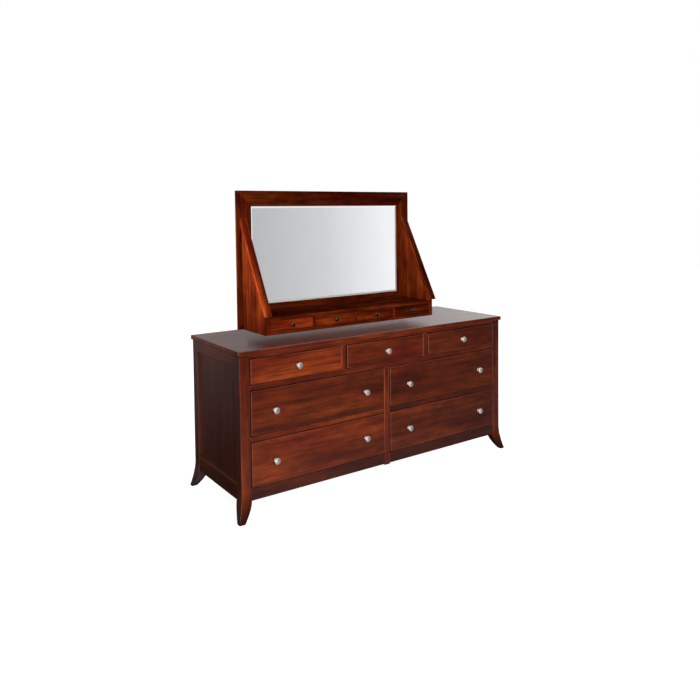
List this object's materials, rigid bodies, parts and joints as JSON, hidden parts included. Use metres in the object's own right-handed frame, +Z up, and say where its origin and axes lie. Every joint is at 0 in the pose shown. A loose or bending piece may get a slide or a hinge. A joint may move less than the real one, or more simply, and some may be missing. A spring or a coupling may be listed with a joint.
{
  "type": "double dresser",
  "caption": "Double dresser on sabre feet with wide drawers, and a framed mirror that stands on a low deck of small drawers.",
  "frame": {"origin": "on the floor in the middle of the footprint", "axes": "+X to the right of someone facing the drawers, +Y from the drawers towards the back, +Z up"},
  "size_m": [1.704, 0.5922, 1.5133],
  "materials": {
    "stained_cherry": "dark red-brown stain under satin lacquer",
    "drawer_maple": "clear sealed maple",
    "panel_plywood": "stained plywood",
    "satin_nickel": "satin nickel plate",
    "dark_pewter": "dark pewter plate",
    "silvered_glass": "bevelled mirror glass"
  },
  "bodies": {
    "case": {"back_panel": "panel_plywood", "bottom_rail": "stained_cherry", "centre_stile": "stained_cherry", "deck_case": "stained_cherry", "deck_side_left": "stained_cherry", "deck_side_right": "stained_cherry", "lower_web_frame": "drawer_maple", "middle_rail_left": "stained_cherry", "middle_rail_right": "stained_cherry", "middle_web_frame": "drawer_maple", "mirror_backing": "panel_plywood", "mirror_frame": "stained_cherry", "mirror_glass": "silvered_glass", "post_front_left": "stained_cherry", "post_front_right": "stained_cherry", "post_rear_left": "stained_cherry", "post_rear_right": "stained_cherry", "side_panel_left": "stained_cherry", "side_panel_right": "stained_cherry", "top_rail": "stained_cherry", "top_slab": "stained_cherry", "upper_rail": "stained_cherry", "upper_stile_left": "stained_cherry", "upper_stile_right": "stained_cherry", "upper_web_frame": "drawer_maple", "wing_cap_left": "stained_cherry", "wing_cap_right": "stained_cherry"},
    "upper_left_drawer": {"drawer_front_upper_left": "stained_cherry", "drawer_box_upper_left": "drawer_maple", "knob_upper_left": "satin_nickel"},
    "upper_centre_drawer": {"drawer_front_upper_centre": "stained_cherry", "drawer_box_upper_centre": "drawer_maple", "knob_upper_centre": "satin_nickel"},
    "upper_right_drawer": {"drawer_front_upper_right": "stained_cherry", "drawer_box_upper_right": "drawer_maple", "knob_upper_right": "satin_nickel"},
    "middle_left_drawer": {"drawer_front_middle_left": "stained_cherry", "drawer_box_middle_left": "drawer_maple", "knob_middle_left_1": "satin_nickel", "knob_middle_left_2": "satin_nickel"},
    "middle_right_drawer": {"drawer_front_middle_right": "stained_cherry", "drawer_box_middle_right": "drawer_maple", "knob_middle_right_1": "satin_nickel", "knob_middle_right_2": "satin_nickel"},
    "lower_left_drawer": {"drawer_front_lower_left": "stained_cherry", "drawer_box_lower_left": "drawer_maple", "knob_lower_left_1": "satin_nickel", "knob_lower_left_2": "satin_nickel"},
    "lower_right_drawer": {"drawer_front_lower_right": "stained_cherry", "drawer_box_lower_right": "drawer_maple", "knob_lower_right_1": "satin_nickel", "knob_lower_right_2": "satin_nickel"},
    "small_drawer_1": {"deck_drawer_1": "stained_cherry", "deck_knob_1": "dark_pewter"},
    "small_drawer_2": {"deck_drawer_2": "stained_cherry", "deck_knob_2": "dark_pewter"},
    "small_drawer_3": {"deck_drawer_3": "stained_cherry", "deck_knob_3": "dark_pewter"},
    "small_drawer_4": {"deck_drawer_4": "stained_cherry", "deck_knob_4": "dark_pewter"}
  },
  "joints": [
    {"name": "slide_upper_left", "type": "slide", "parent": "case", "child": "upper_left_drawer", "axis": [0, -1, 0], "range_m": [0, 0.36]},
    {"name": "slide_upper_centre", "type": "slide", "parent": "case", "child": "upper_centre_drawer", "axis": [0, -1, 0], "range_m": [0, 0.36]},
    {"name": "slide_upper_right", "type": "slide", "parent": "case", "child": "upper_right_drawer", "axis": [0, -1, 0], "range_m": [0, 0.36]},
    {"name": "slide_middle_left", "type": "slide", "parent": "case", "child": "middle_left_drawer", "axis": [0, -1, 0], "range_m": [0, 0.36]},
    {"name": "slide_middle_right", "type": "slide", "parent": "case", "child": "middle_right_drawer", "axis": [0, -1, 0], "range_m": [0, 0.36]},
    {"name": "slide_lower_left", "type": "slide", "parent": "case", "child": "lower_left_drawer", "axis": [0, -1, 0], "range_m": [0, 0.36]},
    {"name": "slide_lower_right", "type": "slide", "parent": "case", "child": "lower_right_drawer", "axis": [0, -1, 0], "range_m": [0, 0.36]},
    {"name": "slide_small_1", "type": "slide", "parent": "case", "child": "small_drawer_1", "axis": [0, -1, 0], "range_m": [0, 0.17]},
    {"name": "slide_small_2", "type": "slide", "parent": "case", "child": "small_drawer_2", "axis": [0, -1, 0], "range_m": [0, 0.17]},
    {"name": "slide_small_3", "type": "slide", "parent": "case", "child": "small_drawer_3", "axis": [0, -1, 0], "range_m": [0, 0.17]},
    {"name": "slide_small_4", "type": "slide", "parent": "case", "child": "small_drawer_4", "axis": [0, -1, 0], "range_m": [0, 0.17]}
  ]
}
